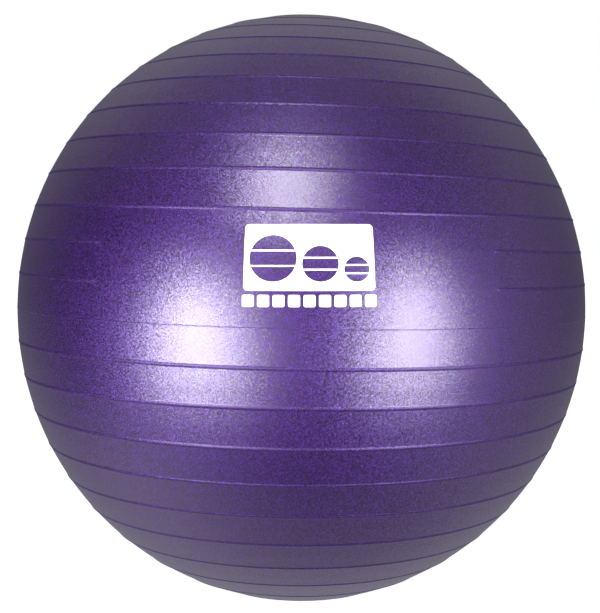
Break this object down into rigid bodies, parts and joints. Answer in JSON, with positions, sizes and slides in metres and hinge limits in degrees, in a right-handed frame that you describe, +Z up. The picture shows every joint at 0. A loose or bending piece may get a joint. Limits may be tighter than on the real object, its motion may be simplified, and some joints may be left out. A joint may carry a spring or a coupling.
{
  "type": "exercise ball",
  "caption": "Large inflated vinyl exercise ball with raised rings, smooth panels front and back, and a push-in valve plug that pulls out.",
  "frame": {"origin": "middle of the flat patch that the ball rests on", "axes": "+Z up through the poles, -Y out of the printed panel, +Y out of the panel that holds the valve, +X to the right as seen from the printed side"},
  "size_m": [0.6506, 0.6506, 0.6686],
  "materials": {
    "ball_skin": "deep purple vinyl with a fine pearl sheen, semi-gloss",
    "valve_vinyl": "plain purple vinyl, satin",
    "plug_plastic": "white moulded plastic, semi-gloss",
    "print_ink": "thin white ink, satin"
  },
  "bodies": {
    "ball": {"ball_shell": "ball_skin", "valve_seat": "valve_vinyl"},
    "plug": {"valve_plug": "plug_plastic"}
  },
  "joints": [
    {"name": "plug_pull", "type": "slide", "parent": "ball", "child": "plug", "axis": [0, 0.9869, 0.1616], "range_m": [0, 0.04]}
  ]
}
